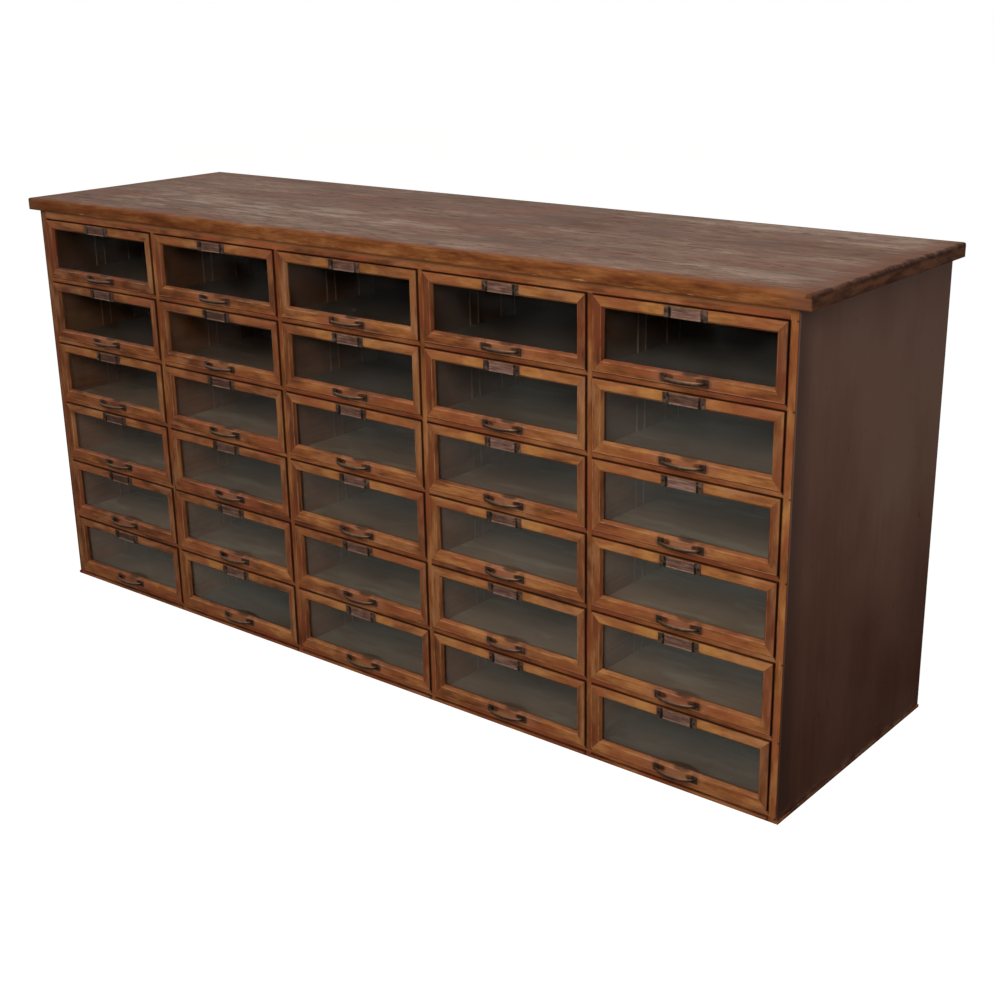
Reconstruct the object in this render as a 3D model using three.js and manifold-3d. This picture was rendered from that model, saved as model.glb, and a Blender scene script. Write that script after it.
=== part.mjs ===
import * as THREE from "three";
import { mergeVertices } from "three/addons/utils/BufferGeometryUtils.js";
import Module from "manifold-3d";

// Haberdashery cabinet: five columns of six glass-fronted drawers in a thin-walled oak carcass.
// Millimetres, +Z up, the drawers open towards -Y, and the origin is the middle of the footprint.

// Drawer openings, rows counted from the top and columns from the left
const columns = 5;
const rows = 6;
const openingWidth = 370;
const openingHeight = 133.5;

// Carcass boards
const carcassDepth = 553;
const partitionThickness = 11.5;
const shelfThickness = 9.5;
const sideThickness = 18;
const bottomThickness = 11.5;
const backThickness = 8;
const topRailHeight = 20;
const topRailDepth = 45;
const stileWidth = 14.5;
const stileDepth = 22;

// Joinery
const housingDepth = 6;
const partitionTenon = 3;
const backRebate = 9;
const slotFit = 0.3;

// Base strips under the carcass
const baseHeight = 6;
const baseWidth = 45;
const baseProud = 2.5;

// Worn top, glued up from three lengthwise boards
const topThickness = 26;
const topEndOverhang = 24;
const topFrontOverhang = 15;
const rearTopBoardWidth = 130;
const middleTopBoardWidth = 219;
const topEdgeRadius = 5;
const topArris = 3;

// Drawer stops glued to the shelves
const stopWidth = 40;
const stopDepth = 12;
const stopHeight = 4.5;
const stopGap = 0.3;

// Glazed drawer front
const frontSideClearance = 1.75;
const frontEndClearance = 1.5;
const frontThickness = 18;
const frontProud = 3;
const frameStile = 20.5;
const frameTopRail = 21;
const frameBottomRail = 22.5;
const frameBevelWidth = 4;
const frameBevelDepth = 5;
const frameArris = 1;
const glassThickness = 3;
const glassLap = 6;
const glassSetBack = 8;

// Drawer box
const boxLength = 475;
const boxInset = 1;
const boxSideThickness = 9;
const boxSideHeight = 112;
const boxBackThickness = 9;
const boxBottomThickness = 4;
const boxBottomRise = 6;
const boxBottomGroove = 4;
const runClearance = 0.3;

// Bow pull, fixed on the bottom rail of a drawer front
const pullLength = 91;
const pullFootWidth = 12;
const pullFootHeight = 14;
const pullFootThickness = 2.2;
const pullProjection = 19;
const pullEndHeight = 5;
const pullMiddleHeight = 8;
const pullBarThickness = 4;
const pullSteps = 8;
const pullSides = 6;

// Card holder on the top rail of a drawer front
const holderLength = 82;
const holderHeight = 19;
const holderThickness = 2;
const holderWindowLength = 58;
const holderWindowHeight = 14;
const cardThickness = 0.8;

// Straight pieces in each quarter of a rounded edge, and of an eased arris
const roundSegments = 4;
const arrisSegments = 1;

// Levels and places worked out from the sizes above
const innerHalfWidth = (columns * openingWidth + (columns - 1) * partitionThickness) / 2;
const outerHalfWidth = innerHalfWidth + sideThickness;
const bottomTop = baseHeight + bottomThickness;
const openingPitchX = openingWidth + partitionThickness;
const openingPitchZ = openingHeight + shelfThickness;
const openingsTop = bottomTop + rows * openingHeight + (rows - 1) * shelfThickness;
const carcassTop = openingsTop + topRailHeight;
const frontReach = frontProud + pullProjection;
const faceY = (frontReach - carcassDepth) / 2;
const carcassBackY = faceY + carcassDepth;
const backFrontY = carcassBackY - backThickness;
const lapY = (faceY + backFrontY) / 2;
const frontWidth = openingWidth - 2 * frontSideClearance;
const frontBackY = frontThickness - frontProud;
const boxHalfWidth = frontWidth / 2 - boxInset;
const boxInnerHalfWidth = boxHalfWidth - boxSideThickness;
const boxBackY = frontBackY + boxLength;
const boxTop = runClearance + boxSideHeight;
const boxBottomZ = [
  runClearance + boxBottomRise,
  runClearance + boxBottomRise + boxBottomThickness,
];

const columnX = (column) => (column - (columns + 1) / 2) * openingPitchX;
const rowFloor = (row) => bottomTop + (rows - row) * openingPitchZ;
const partitionX = (number) => columnX(number) + openingPitchX / 2;

const wasm = await Module();
wasm.setup();

// Solids for joining and cutting

function toSolid(geometry) {
  const bare = geometry.index ? geometry.toNonIndexed() : geometry.clone();
  bare.deleteAttribute("normal");
  bare.deleteAttribute("uv");
  const merged = mergeVertices(bare, 1e-5);
  const mesh = new wasm.Mesh({
    numProp: 3,
    vertProperties: new Float32Array(merged.attributes.position.array),
    triVerts: new Uint32Array(merged.index.array),
  });
  return new wasm.Manifold(mesh);
}

function toGeometry(solid) {
  const { vertProperties, triVerts } = solid.getMesh();
  const geometry = new THREE.BufferGeometry();
  geometry.setAttribute("position", new THREE.BufferAttribute(new Float32Array(vertProperties), 3));
  geometry.setIndex(new THREE.BufferAttribute(new Uint32Array(triVerts), 1));
  geometry.computeVertexNormals();
  return geometry;
}

const join = (solids) => solids.reduce((whole, piece) => whole.add(piece));
const cut = (solid, tools) => tools.reduce((rest, tool) => rest.subtract(tool), solid);
const inOrder = (a, b) => [Math.min(a, b), Math.max(a, b)];

// A board between two corners, whose faces lie exactly on the given values
function board([x0, x1], [y0, y1], [z0, z1]) {
  const geometry = new THREE.BoxGeometry(1, 1, 1);
  const position = geometry.attributes.position;
  for (let i = 0; i < position.count; i++) {
    position.setXYZ(
      i,
      position.getX(i) < 0 ? x0 : x1,
      position.getY(i) < 0 ? y0 : y1,
      position.getZ(i) < 0 ? z0 : z1,
    );
  }
  return toSolid(geometry);
}

// A moulding whose outline lies across the named axis and runs along it from start to end
function moulding(outline, axis, start, end, curveSegments) {
  const geometry = new THREE.ExtrudeGeometry(outline, {
    depth: 1,
    bevelEnabled: false,
    curveSegments,
  });
  const source = geometry.attributes.position;
  const points = [];
  for (let i = 0; i < source.count; i++) {
    const [across, up, along] = [source.getX(i), source.getY(i), source.getZ(i) < 0.5 ? start : end];
    points.push(axis === "x" ? [along, across, up] : [across, along, up]);
  }
  // Laid along y, the outline is seen from behind, so each triangle is turned over.
  const order = axis === "x" ? [0, 1, 2] : [0, 2, 1];
  const turned = points.flatMap((_, i) => points[i - (i % 3) + order[i % 3]]);
  const laid = new THREE.BufferGeometry();
  laid.setAttribute("position", new THREE.Float32BufferAttribute(turned, 3));
  return toSolid(laid);
}

// A tapered block between an opening in front and a smaller one behind, as a mitred bevel cuts
function taperedBlock(front, frontY, back, backY) {
  const geometry = new THREE.BoxGeometry(1, 1, 1);
  const position = geometry.attributes.position;
  for (let i = 0; i < position.count; i++) {
    const isFront = position.getY(i) < 0;
    const [x0, x1, z0, z1] = isFront ? front : back;
    position.setXYZ(
      i,
      position.getX(i) < 0 ? x0 : x1,
      isFront ? frontY : backY,
      position.getZ(i) < 0 ? z0 : z1,
    );
  }
  return toSolid(geometry);
}

// A rectangle with its four corners rounded by the radii given from the lower left, counterclockwise
function roundedRectangle(x0, x1, z0, z1, radii) {
  const outline = new THREE.Shape();
  const [lowerLeft, lowerRight, upperRight, upperLeft] = radii;
  outline.moveTo(x0 + lowerLeft, z0);
  outline.lineTo(x1 - lowerRight, z0);
  if (lowerRight) outline.absarc(x1 - lowerRight, z0 + lowerRight, lowerRight, -Math.PI / 2, 0);
  outline.lineTo(x1, z1 - upperRight);
  if (upperRight) outline.absarc(x1 - upperRight, z1 - upperRight, upperRight, 0, Math.PI / 2);
  outline.lineTo(x0 + upperLeft, z1);
  if (upperLeft) {
    outline.absarc(x0 + upperLeft, z1 - upperLeft, upperLeft, Math.PI / 2, Math.PI);
  }
  outline.lineTo(x0, z0 + lowerLeft);
  if (lowerLeft) outline.absarc(x0 + lowerLeft, z0 + lowerLeft, lowerLeft, Math.PI, 1.5 * Math.PI);
  return outline;
}

// Finishes

function finish(color, roughness, metalness = 0) {
  return new THREE.MeshStandardMaterial({ color, roughness, metalness });
}

const wornTop = finish(0x7d6458, 0.62);
const frontOak = finish(0x8c5028, 0.42);
const sideOak = finish(0x4a3931, 0.45);
const innerPine = finish(0x3a2c22, 0.75);
const drawerOak = finish(0x8c5028, 0.45);
const drawerLining = finish(0x5c5348, 0.8);
const paneGlass = finish(0x3c3c36, 0.08);
const agedBrass = finish(0x5d4a36, 0.42, 0.85);
const darkBronze = finish(0x463a33, 0.48, 0.7);

const cabinet = new THREE.Group();

function addPiece(parent, name, solid, material) {
  const mesh = new THREE.Mesh(toGeometry(solid), material);
  mesh.name = name;
  parent.add(mesh);
}

// Carcass

const insideY = [faceY, backFrontY];
const stileBackY = faceY + stileDepth;

// Where a shelf or the bottom runs into the housings of both sides, behind the stiles
function housedBoard([z0, z1]) {
  const reach = innerHalfWidth + housingDepth;
  const wide = board([-reach, reach], [stileBackY, backFrontY], [z0, z1]);
  const narrow = board([-innerHalfWidth, innerHalfWidth], [faceY, stileBackY], [z0, z1]);
  return wide.add(narrow);
}

function drawerStop(column, floor) {
  const x = columnX(column);
  const y = faceY + frontBackY + stopGap;
  return board(
    [x - stopWidth / 2, x + stopWidth / 2],
    [y, y + stopDepth],
    [floor, floor + stopHeight],
  );
}

const columnNumbers = Array.from({ length: columns }, (_, i) => i + 1);
const rowNumbers = Array.from({ length: rows }, (_, i) => i + 1);
const partitionNumbers = columnNumbers.slice(0, -1);
const shelfNumbers = rowNumbers.slice(0, -1);
const drawerStops = (floor) => columnNumbers.map((column) => drawerStop(column, floor));

// A shelf carries one row of drawers. It is slotted from the front to let the partitions through.
function shelf(number) {
  const top = rowFloor(number);
  const slots = partitionNumbers.map((partition) => {
    const half = partitionThickness / 2 + slotFit;
    const x = partitionX(partition);
    return board(
      [x - half, x + half],
      [faceY - slotFit, lapY + slotFit],
      [top - 2 * shelfThickness, top + shelfThickness],
    );
  });
  const plain = housedBoard([top - shelfThickness, top]);
  return cut(plain.add(join(drawerStops(top))), slots);
}

// A partition runs unbroken up the front and is slotted from behind over the shelves.
function partition(number) {
  const x = partitionX(number);
  const thickness = [x - partitionThickness / 2, x + partitionThickness / 2];
  const overrun = [thickness[0] - slotFit, thickness[1] + slotFit];
  const plain = board(thickness, insideY, [bottomTop - partitionTenon + slotFit, carcassTop]);
  const railNotch = board(
    overrun,
    [faceY - slotFit, faceY + topRailDepth + slotFit],
    [openingsTop - slotFit, carcassTop + slotFit],
  );
  const slots = shelfNumbers.map((row) => {
    const top = rowFloor(row);
    return board(overrun, [lapY, backFrontY + slotFit], [top - shelfThickness - slotFit, top + slotFit]);
  });
  return cut(plain, [railNotch, ...slots]);
}

function bottomBoard() {
  const grooves = partitionNumbers.map((number) => {
    const half = partitionThickness / 2 + slotFit;
    const x = partitionX(number);
    return board(
      [x - half, x + half],
      [faceY - slotFit, backFrontY + slotFit],
      [bottomTop - partitionTenon, bottomTop + partitionTenon],
    );
  });
  const plain = housedBoard([baseHeight, bottomTop]).add(join(drawerStops(bottomTop)));
  return cut(plain, grooves);
}

// The side has a rebate for the face stile, one for the back, and a housing for every shelf.
function sidePanel(hand) {
  const span = (inner, outer) => inOrder(hand * inner, hand * outer);
  const past = slotFit;
  const plain = board(
    span(innerHalfWidth, outerHalfWidth),
    [faceY, carcassBackY],
    [baseHeight, carcassTop],
  );
  const stileRebate = board(
    span(innerHalfWidth - past, innerHalfWidth + stileWidth + slotFit),
    [faceY - past, stileBackY + slotFit],
    [baseHeight - past, carcassTop + past],
  );
  const rearRebate = board(
    span(innerHalfWidth - past, innerHalfWidth + backRebate + slotFit),
    [backFrontY - slotFit, carcassBackY + past],
    [baseHeight - past, carcassTop + past],
  );
  const housing = (z0, z1) =>
    board(
      span(innerHalfWidth - past, innerHalfWidth + housingDepth + slotFit),
      [stileBackY - past, carcassBackY + past],
      [z0, z1],
    );
  const housings = shelfNumbers.map((row) => {
    const top = rowFloor(row);
    return housing(top - shelfThickness - slotFit, top + slotFit);
  });
  const bottomHousing = housing(baseHeight - past, bottomTop + slotFit);
  return cut(plain, [stileRebate, rearRebate, bottomHousing, ...housings]);
}

function faceStile(hand) {
  const width = inOrder(hand * innerHalfWidth, hand * (innerHalfWidth + stileWidth));
  return board(width, [faceY, stileBackY], [baseHeight, carcassTop]);
}

function topRail() {
  return board(
    [-innerHalfWidth, innerHalfWidth],
    [faceY, faceY + topRailDepth],
    [openingsTop, carcassTop],
  );
}

function backPanel() {
  const reach = innerHalfWidth + backRebate;
  return board([-reach, reach], [backFrontY, carcassBackY], [baseHeight, carcassTop]);
}

function baseStrips() {
  const reach = outerHalfWidth + baseProud;
  const frontY = faceY - baseProud;
  const sideY = [frontY + baseWidth, carcassBackY - baseWidth];
  const height = [0, baseHeight];
  return {
    base_strip_front: board([-reach, reach], [frontY, sideY[0]], height),
    base_strip_rear: board([-reach, reach], [sideY[1], carcassBackY], height),
    base_strip_left: board([-reach, baseWidth - reach], sideY, height),
    base_strip_right: board([reach - baseWidth, reach], sideY, height),
  };
}

// The top's long edges and ends are worn round. The boards are cut from one rounded slab.
function topBoards() {
  const reach = outerHalfWidth + topEndOverhang;
  const frontY = faceY - topFrontOverhang;
  const topZ = carcassTop + topThickness;
  const across = roundedRectangle(frontY, carcassBackY, carcassTop, topZ, [
    topArris,
    topArris,
    topArris,
    topEdgeRadius,
  ]);
  const along = roundedRectangle(-reach, reach, carcassTop, topZ, [
    topArris,
    topArris,
    topEdgeRadius,
    topEdgeRadius,
  ]);
  const slab = moulding(across, "x", -reach, reach, roundSegments).intersect(
    moulding(along, "y", frontY, carcassBackY, roundSegments),
  );
  const rearJoint = carcassBackY - rearTopBoardWidth;
  const frontJoint = rearJoint - middleTopBoardWidth;
  const strip = (y0, y1) =>
    slab.intersect(
      board([-reach - topArris, reach + topArris], [y0, y1], [carcassTop - topArris, topZ + topArris]),
    );
  return {
    top_board_front: strip(frontY - topArris, frontJoint),
    top_board_middle: strip(frontJoint, rearJoint),
    top_board_rear: strip(rearJoint, carcassBackY + topArris),
  };
}

// Drawer, in its own frame: x from the middle of the opening, y from the cabinet face, z from its floor

const frontZ = [frontEndClearance, openingHeight - frontEndClearance];
const sight = {
  halfWidth: frontWidth / 2 - frameStile,
  z0: frontZ[0] + frameBottomRail,
  z1: frontZ[1] - frameTopRail,
};
const glassY = [glassSetBack - frontProud, glassSetBack - frontProud + glassThickness];
const holderZ = frontZ[1] - frameTopRail / 2;
const pullZ = frontZ[0] + frameBottomRail / 2;

function frontFrame() {
  const half = frontWidth / 2;
  const arrises = [frameArris, frameArris, frameArris, frameArris];
  const outside = roundedRectangle(-half, half, frontZ[0], frontZ[1], arrises);
  const plain = moulding(outside, "y", -frontProud, frontBackY, arrisSegments);
  const grown = (extra) => [
    -sight.halfWidth - extra,
    sight.halfWidth + extra,
    sight.z0 - extra,
    sight.z1 + extra,
  ];
  const bevelSlope = frameBevelWidth / frameBevelDepth;
  const bevel = taperedBlock(
    grown(frameBevelWidth + bevelSlope * frameArris),
    -frontProud - frameArris,
    grown(0),
    frameBevelDepth - frontProud,
  );
  const [sx0, sx1, sz0, sz1] = grown(0);
  const window = board([sx0, sx1], [-frontProud, frontBackY + frameArris], [sz0, sz1]);
  const [rx0, rx1, rz0, rz1] = grown(glassLap);
  const rebate = board([rx0, rx1], [glassY[0], frontBackY + frameArris], [rz0, rz1]);
  return cut(plain, [bevel, window, rebate]);
}

function glassPane() {
  const half = sight.halfWidth + glassLap;
  return board([-half, half], glassY, [sight.z0 - glassLap, sight.z1 + glassLap]);
}

function boxSide(hand) {
  const plain = board(
    inOrder(hand * boxInnerHalfWidth, hand * boxHalfWidth),
    [frontBackY, boxBackY],
    [runClearance, boxTop],
  );
  const reach = boxInnerHalfWidth + boxBottomGroove;
  const groove = board([-reach, reach], [frontBackY - slotFit, boxBackY + slotFit], boxBottomZ);
  return plain.subtract(groove);
}

function boxBottom() {
  const reach = boxInnerHalfWidth + boxBottomGroove;
  return board([-reach, reach], [frontBackY, boxBackY], boxBottomZ);
}

function boxBack() {
  return board(
    [-boxInnerHalfWidth, boxInnerHalfWidth],
    [boxBackY - boxBackThickness, boxBackY],
    [boxBottomZ[1], boxTop],
  );
}

// The bow is a loft of oval rings round half an ellipse, deepest in the middle.
function bowBar() {
  const footX = (pullLength - pullFootWidth) / 2;
  const rise = pullProjection - pullBarThickness / 2;
  const points = [];
  const faces = [];
  for (let step = 0; step <= pullSteps; step++) {
    const turn = Math.PI * (1 - step / pullSteps);
    const [cos, sin] = [Math.cos(turn), Math.sin(turn)];
    const centre = new THREE.Vector3(footX * cos, -frontProud - rise * sin, pullZ);
    const outward = new THREE.Vector3(rise * cos, -footX * sin, 0).normalize();
    const height = THREE.MathUtils.lerp(pullEndHeight, pullMiddleHeight, sin);
    for (let side = 0; side < pullSides; side++) {
      const angle = (2 * Math.PI * side) / pullSides;
      const point = centre.clone().addScaledVector(outward, (pullBarThickness / 2) * Math.cos(angle));
      point.z += (height / 2) * Math.sin(angle);
      points.push(point.x, point.y, point.z);
    }
  }
  const ring = (step, side) => step * pullSides + (side % pullSides);
  for (let step = 0; step < pullSteps; step++) {
    for (let side = 0; side < pullSides; side++) {
      const [a, b] = [ring(step, side), ring(step + 1, side)];
      const [c, d] = [ring(step + 1, side + 1), ring(step, side + 1)];
      faces.push(a, b, c, a, c, d);
    }
  }
  for (let side = 1; side < pullSides - 1; side++) {
    faces.push(ring(0, 0), ring(0, side), ring(0, side + 1));
    faces.push(ring(pullSteps, 0), ring(pullSteps, side + 1), ring(pullSteps, side));
  }
  const geometry = new THREE.BufferGeometry();
  geometry.setAttribute("position", new THREE.Float32BufferAttribute(points, 3));
  geometry.setIndex(faces);
  return toSolid(geometry);
}

function pull() {
  const feet = [-1, 1].map((hand) => {
    const x = (hand * (pullLength - pullFootWidth)) / 2;
    return board(
      [x - pullFootWidth / 2, x + pullFootWidth / 2],
      [-frontProud - pullFootThickness, -frontProud],
      [pullZ - pullFootHeight / 2, pullZ + pullFootHeight / 2],
    );
  });
  const behindFace = board(
    [-pullLength, pullLength],
    [-frontProud, frontBackY],
    [pullZ - pullFootHeight, pullZ + pullFootHeight],
  );
  return join([bowBar().subtract(behindFace), ...feet]);
}

function cardHolder() {
  const half = { x: holderLength / 2, z: holderHeight / 2 };
  const plate = board(
    [-half.x, half.x],
    [-frontProud - holderThickness, -frontProud],
    [holderZ - half.z, holderZ + half.z],
  );
  const windowPocket = board(
    [-holderWindowLength / 2, holderWindowLength / 2],
    [-frontProud - 2 * holderThickness, -frontProud - cardThickness],
    [holderZ - holderWindowHeight / 2, holderZ + holderWindowHeight / 2],
  );
  return plate.subtract(windowPocket);
}

const drawerPieces = [
  ["front_frame", frontFrame(), drawerOak],
  ["glass", glassPane(), paneGlass],
  ["side_left", boxSide(-1), drawerLining],
  ["side_right", boxSide(1), drawerLining],
  ["back", boxBack(), drawerLining],
  ["bottom", boxBottom(), drawerLining],
  ["pull", pull(), agedBrass],
  ["card_holder", cardHolder(), darkBronze],
];
const joinedDrawer = toGeometry(join(drawerPieces.map(([, solid]) => solid)));

// The drawer nearest the viewer's right hand is left in its pieces, and the others are joined.
const openDrawer = { row: 1, column: columns };

function addDrawer(row, column) {
  const drawer = new THREE.Group();
  const name = `drawer_r${row}_c${column}`;
  drawer.position.set(columnX(column), faceY, rowFloor(row));
  cabinet.add(drawer);
  if (row === openDrawer.row && column === openDrawer.column) {
    drawerPieces.forEach(([piece, solid, material]) => {
      addPiece(drawer, `${name}_${piece}`, solid, material);
    });
    return;
  }
  const mesh = new THREE.Mesh(joinedDrawer, drawerOak);
  mesh.name = name;
  drawer.add(mesh);
}

// Assembly

Object.entries(topBoards()).forEach(([name, solid]) => addPiece(cabinet, name, solid, wornTop));
Object.entries(baseStrips()).forEach(([name, solid]) => addPiece(cabinet, name, solid, frontOak));
addPiece(cabinet, "side_panel_left", sidePanel(-1), sideOak);
addPiece(cabinet, "side_panel_right", sidePanel(1), sideOak);
addPiece(cabinet, "face_stile_left", faceStile(-1), frontOak);
addPiece(cabinet, "face_stile_right", faceStile(1), frontOak);
addPiece(cabinet, "top_rail", topRail(), frontOak);
addPiece(cabinet, "bottom_board", bottomBoard(), frontOak);
addPiece(cabinet, "back_panel", backPanel(), innerPine);
partitionNumbers.forEach((number) => {
  addPiece(cabinet, `partition_${number}`, partition(number), frontOak);
});
shelfNumbers.forEach((number) => addPiece(cabinet, `shelf_${number}`, shelf(number), frontOak));
rowNumbers.forEach((row) => columnNumbers.forEach((column) => addDrawer(row, column)));

export default cabinet;
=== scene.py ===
"""The looks of the haberdashery cabinet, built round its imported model. Metres, +Z up, fronts to -Y."""

import math
import random
from types import SimpleNamespace

import bmesh
import bpy
from mathutils import Matrix, Vector


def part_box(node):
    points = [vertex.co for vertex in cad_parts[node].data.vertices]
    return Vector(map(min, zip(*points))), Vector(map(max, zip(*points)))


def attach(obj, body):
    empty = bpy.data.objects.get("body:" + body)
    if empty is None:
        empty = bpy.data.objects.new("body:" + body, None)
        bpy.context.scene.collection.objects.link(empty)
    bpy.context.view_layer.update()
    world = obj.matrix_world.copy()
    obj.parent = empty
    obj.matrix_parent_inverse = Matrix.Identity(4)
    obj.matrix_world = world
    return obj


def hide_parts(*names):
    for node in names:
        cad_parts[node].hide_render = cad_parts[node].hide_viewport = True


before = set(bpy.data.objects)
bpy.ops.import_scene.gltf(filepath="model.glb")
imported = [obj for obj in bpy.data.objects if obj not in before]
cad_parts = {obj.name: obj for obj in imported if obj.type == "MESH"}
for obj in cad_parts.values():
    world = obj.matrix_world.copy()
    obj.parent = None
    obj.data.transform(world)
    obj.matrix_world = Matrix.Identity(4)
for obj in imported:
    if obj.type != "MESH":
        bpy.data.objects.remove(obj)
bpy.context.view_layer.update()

MM = 0.001
COLUMNS = 5
ROWS = 6
HANDS = (-1, 1)
SEED = 11

# Places read from the frame
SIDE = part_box("side_panel_right")
FACE_Y = SIDE[0].y
CARCASS_TOP = SIDE[1].z
TOP_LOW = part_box("top_board_front")[0]
TOP_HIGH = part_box("top_board_rear")[1]

# The front frame of a drawer, and the pane in its rebate
FRONT_HEIGHT = 130.5 * MM
FRONT_THICKNESS = 18 * MM
FRONT_PROUD = 3 * MM
FRONT_LIFT = 1.2 * MM
FRONT_Y = FACE_Y - FRONT_PROUD
FRONT_BACK_Y = FRONT_Y + FRONT_THICKNESS
STILE_WIDTH = 20.5 * MM
TOP_RAIL_WIDTH = 21 * MM
BOTTOM_RAIL_WIDTH = 22.5 * MM
BEVEL_WIDTH = 4 * MM
BEVEL_DEPTH = 5 * MM
FRONT_ARRIS = 1 * MM
MITRE_GAP = 0.12 * MM
GLASS_SET_BACK = 8 * MM
GLASS_THICKNESS = 3 * MM
GLASS_LAP = 6 * MM
GLASS_PLAY = 0.5 * MM

# The drawer box, with battens for dividers on its sides
BOX_INSET = 1 * MM
BOX_SIDE = 9 * MM
BOX_BACK = 9 * MM
BOX_BOTTOM_RISE = 6 * MM
BOX_BOTTOM = 4 * MM
BOX_HEIGHT = 112 * MM
BOX_ARRIS = 1 * MM
BOTTOM_ARRIS = 0.5 * MM
BATTEN_DEPTHS = (119 * MM, 143 * MM, 211 * MM, 253 * MM)
BATTEN_WIDTH = 2.4 * MM
BATTEN_PROUD = 1.6 * MM
BATTEN_BELOW_TOP = 4 * MM
BATTEN_ARRIS = 0.4 * MM

# The pull
PULL_LENGTH = 91 * MM
PULL_FOOT_WIDTH = 12 * MM
PULL_FOOT_HEIGHT = 14 * MM
PULL_FOOT_THICKNESS = 2.2 * MM
PULL_FOOT_ARRIS = 0.8 * MM
PULL_PROJECTION = 19 * MM
PULL_END_HEIGHT = 5 * MM
PULL_MIDDLE_HEIGHT = 8 * MM
PULL_BAR_THICKNESS = 4 * MM
BOW_STEPS = 22
BOW_SIDES = 12
SCREW_RADIUS = 2.2 * MM
SCREW_HEIGHT = 1.1 * MM
SCREW_OUTWARD = 2.6 * MM

# The card holder and its card
HOLDER_LENGTH = 82 * MM
HOLDER_HEIGHT = 19 * MM
HOLDER_THICKNESS = 2 * MM
HOLDER_ARRIS = 0.6 * MM
WINDOW_LENGTH = 58 * MM
WINDOW_HEIGHT = 14 * MM
LIP_WIDTH = 4 * MM
LIP_LAP = 1 * MM
LIP_PROUD = 0.4 * MM
LIP_ARRIS = 0.5 * MM
PIN_RADIUS = 2 * MM
PIN_FROM_END = 4.4 * MM
CARD_LAP = 1 * MM
CARD_THICKNESS = 0.6 * MM
CARD_GAP = 0.2 * MM
CARD_ARRIS = 0.1 * MM

# The carcass. The tones of its boards stray.
UPRIGHT_ARRIS = 0.7 * MM
SHELF_ARRIS = 0.6 * MM
BOARD_ARRIS = 0.8 * MM
BOARD_STRAY = 0.7
BACK_BOARDS = 11
BACK_TONES = (0.3, 1)
BACK_JOINT = 1.6 * MM
NAIL_RADIUS = 2.6 * MM
NAIL_HEIGHT = 0.5 * MM
NAIL_ROOM = 0.6 * MM
NAIL_STRAY = 6 * MM
NAILS_ON_FOOT = 5 * MM
NAILS_ON_SHELF = 4.7 * MM
NAILS_UNDER_TOP = 12 * MM

# The top
TOP_EDGE_RADIUS = 7 * MM
TOP_ARRIS = 3 * MM
TOP_JOINT = 0.6 * MM
TOP_STATIONS = 96
TOP_STRIPS = 12
ROUND_STEPS = 5

# The photograph's camera, placed from the middle of the carcass front on the floor
IMAGE_LONG_SIDE = 995
FOCAL_PIXELS = 1524
SENSOR = 36
CAMERA_PLACE = Vector((2.048, -2.042, 1.367))
CAMERA_AZIMUTH = math.radians(39.52)
CAMERA_ELEVATION = math.radians(18.85)
CAMERA_ROLL = math.radians(-1.04)

# The studio. A lamp has a name, place, target, size and power.
LAMPS = (
    ("key", (1.6, -3.6, 2.9), (0, -0.2, 0.45), (1.8, 1.8), 150),
    ("over", (0, -0.2, 3.6), (0, 0, 0.9), (3.4, 2.2), 45),
)
WHITE = (1, 1, 1, 1)
FILL_COLOUR = (1, 0.98, 0.95, 1)
FILL_STRENGTH = 0.3
FLOOR_REACH = 9
FLOOR_SHADE = (0.5, 0.5, 0.5, 1)
FLOOR_SHADE_SEEN = (0.22, 0.22, 0.22, 1)
FLOOR_GLOW = 0.93

# The patch of floor that mirrors see, a painted reflection that glows though it is no lamp: its middle,
# its reach and its colours from there out
PATCH_MIDDLE = (0.3, FACE_Y, 0)
PATCH_REACH = 4
PATCH_SPREAD = 3
PATCH_TONES = (
    (0.04, (0.4, 0.39, 0.34, 1)),
    (0.2, (0.48, 0.48, 0.42, 1)),
    (0.53, (0.54, 0.53, 0.47, 1)),
    (0.65, (0.46, 0.45, 0.4, 1)),
    (0.75, (0.26, 0.25, 0.22, 1)),
    (0.83, (0.06, 0.05, 0.04, 1)),
    (0.9, (0.02, 0.014, 0.01, 1)),
)


# Camera, lights and stage


def link(thing):
    bpy.context.scene.collection.objects.link(thing)


def add_camera():
    camera = bpy.data.objects.new("camera", bpy.data.cameras.new("camera"))
    link(camera)
    bpy.context.scene.camera = camera
    camera.data.sensor_width = SENSOR
    camera.data.lens = FOCAL_PIXELS / IMAGE_LONG_SIDE * SENSOR
    az, el = CAMERA_AZIMUTH, CAMERA_ELEVATION
    back = Vector((math.sin(az) * math.cos(el), -math.cos(az) * math.cos(el), math.sin(el)))
    right = Vector((math.cos(az), math.sin(az), 0))
    up = back.cross(right)
    turn = Matrix.Rotation(CAMERA_ROLL, 3, back)
    axes = Matrix((turn @ right, turn @ up, back)).transposed()
    place = CAMERA_PLACE + Vector((0, FACE_Y, 0))
    camera.matrix_world = Matrix.Translation(place) @ axes.to_4x4()


def add_lamp(name, place, target, size, power):
    lamp = bpy.data.lights.new(name, "AREA")
    lamp.shape = "RECTANGLE"
    lamp.size, lamp.size_y = size
    lamp.energy = power
    holder = bpy.data.objects.new(name, lamp)
    link(holder)
    holder.location = place
    holder.rotation_euler = (Vector(target) - Vector(place)).to_track_quat("-Z", "Y").to_euler()


def add_world():
    """White to the camera, to mirrors and through clear glass, and a soft fill for the rest."""
    world = bpy.data.worlds.new("studio")
    bpy.context.scene.world = world
    world.use_nodes = True
    sky = Nodes(world.node_tree)
    soft = sky.output("Background", {"Color": FILL_COLOUR, "Strength": FILL_STRENGTH})
    white = sky.output("Background", {"Color": WHITE})
    seen = sky.seen_by("Is Camera Ray", "Is Glossy Ray", "Is Transmission Ray")
    sky.add("OutputWorld", {"Surface": sky.output("MixShader", {0: seen, 1: soft, 2: white})})


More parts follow.
